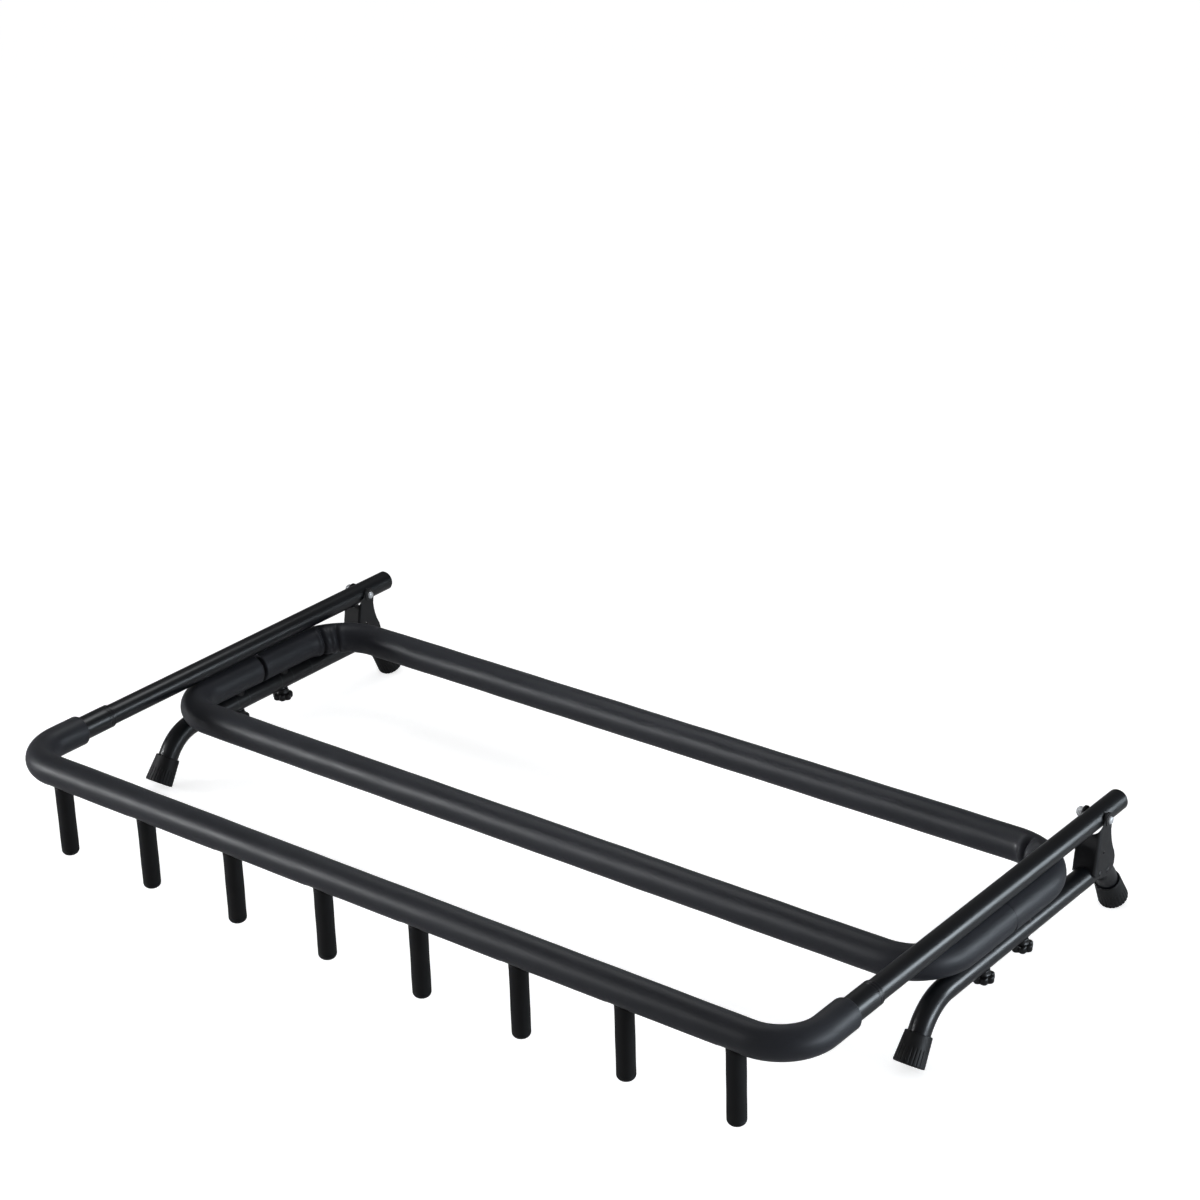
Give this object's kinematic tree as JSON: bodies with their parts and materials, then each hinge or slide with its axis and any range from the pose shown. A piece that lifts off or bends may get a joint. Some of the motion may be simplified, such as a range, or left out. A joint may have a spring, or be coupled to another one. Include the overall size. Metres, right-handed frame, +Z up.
{
  "type": "folding guitar rack",
  "caption": "Folding floor rack for a row of guitars: padded cradle on bent steel legs, with a padded peg frame that folds flat on two pivots.",
  "frame": {"origin": "on the floor, under the middle of the rack's box, with the peg frame folded down", "axes": "+X to the right seen from the front, +Y to the back, +Z up; the folded peg frame points to the front (-Y)"},
  "size_m": [0.9983, 0.5888, 0.1287],
  "materials": {
    "black_tube": "satin",
    "black_bracket": "satin",
    "black_rivet": "satin",
    "foot_rubber": "matte",
    "black_foam": "matte",
    "peg_foam": "matte",
    "zinc_steel": "satin",
    "black_washer": "satin",
    "raw_steel": "satin",
    "black_plastic": "satin"
  },
  "bodies": {
    "base": {"leg_left": "black_tube", "leg_right": "black_tube", "foot_cap_front_left": "foot_rubber", "foot_cap_front_right": "foot_rubber", "foot_cap_rear_left": "foot_rubber", "foot_cap_rear_right": "foot_rubber", "bracket_left": "black_bracket", "bracket_right": "black_bracket", "bracket_rivets": "black_rivet", "pivot_bolts": "zinc_steel", "pivot_washers": "black_washer", "pivot_nuts": "zinc_steel", "cradle_front_tube": "black_tube", "cradle_rear_tube": "black_tube", "cradle_front_foam": "black_foam", "cradle_rear_foam": "black_foam", "cradle_inserts": "zinc_steel", "saddle_spacers": "black_plastic"},
    "peg_frame": {"upright_left": "black_tube", "upright_right": "black_tube", "tail_plug_left": "black_plastic", "tail_plug_right": "black_plastic", "top_bar_tube": "black_tube", "top_bar_foam": "black_foam", "peg_cores": "raw_steel", "peg_1": "peg_foam", "peg_2": "peg_foam", "peg_3": "peg_foam", "peg_4": "peg_foam", "peg_5": "peg_foam", "peg_6": "peg_foam", "peg_7": "peg_foam", "peg_8": "peg_foam"},
    "clamp_front_left": {"knob_front_left": "black_plastic", "screw_front_left": "zinc_steel"},
    "clamp_front_right": {"knob_front_right": "black_plastic", "screw_front_right": "zinc_steel"},
    "clamp_rear_left": {"knob_rear_left": "black_plastic", "screw_rear_left": "zinc_steel"},
    "clamp_rear_right": {"knob_rear_right": "black_plastic", "screw_rear_right": "zinc_steel"}
  },
  "joints": [
    {"name": "frame_fold", "type": "hinge", "parent": "base", "child": "peg_frame", "pos_m": [0, 0.23864, 0.115], "axis": [-1, 0, 0], "range_deg": [0, 100.3]},
    {"name": "knob_turn_front_left", "type": "hinge", "parent": "base", "child": "clamp_front_left", "pos_m": [-0.48, 0.03064, 0.0375], "axis": [0, 0, 1], "continuous": true},
    {"name": "knob_turn_front_right", "type": "hinge", "parent": "base", "child": "clamp_front_right", "pos_m": [0.48, 0.03064, 0.0375], "axis": [0, 0, 1], "continuous": true},
    {"name": "knob_turn_rear_left", "type": "hinge", "parent": "base", "child": "clamp_rear_left", "pos_m": [-0.48, 0.10064, 0.0375], "axis": [0, 0, 1], "continuous": true},
    {"name": "knob_turn_rear_right", "type": "hinge", "parent": "base", "child": "clamp_rear_right", "pos_m": [0.48, 0.10064, 0.0375], "axis": [0, 0, 1], "continuous": true}
  ]
}
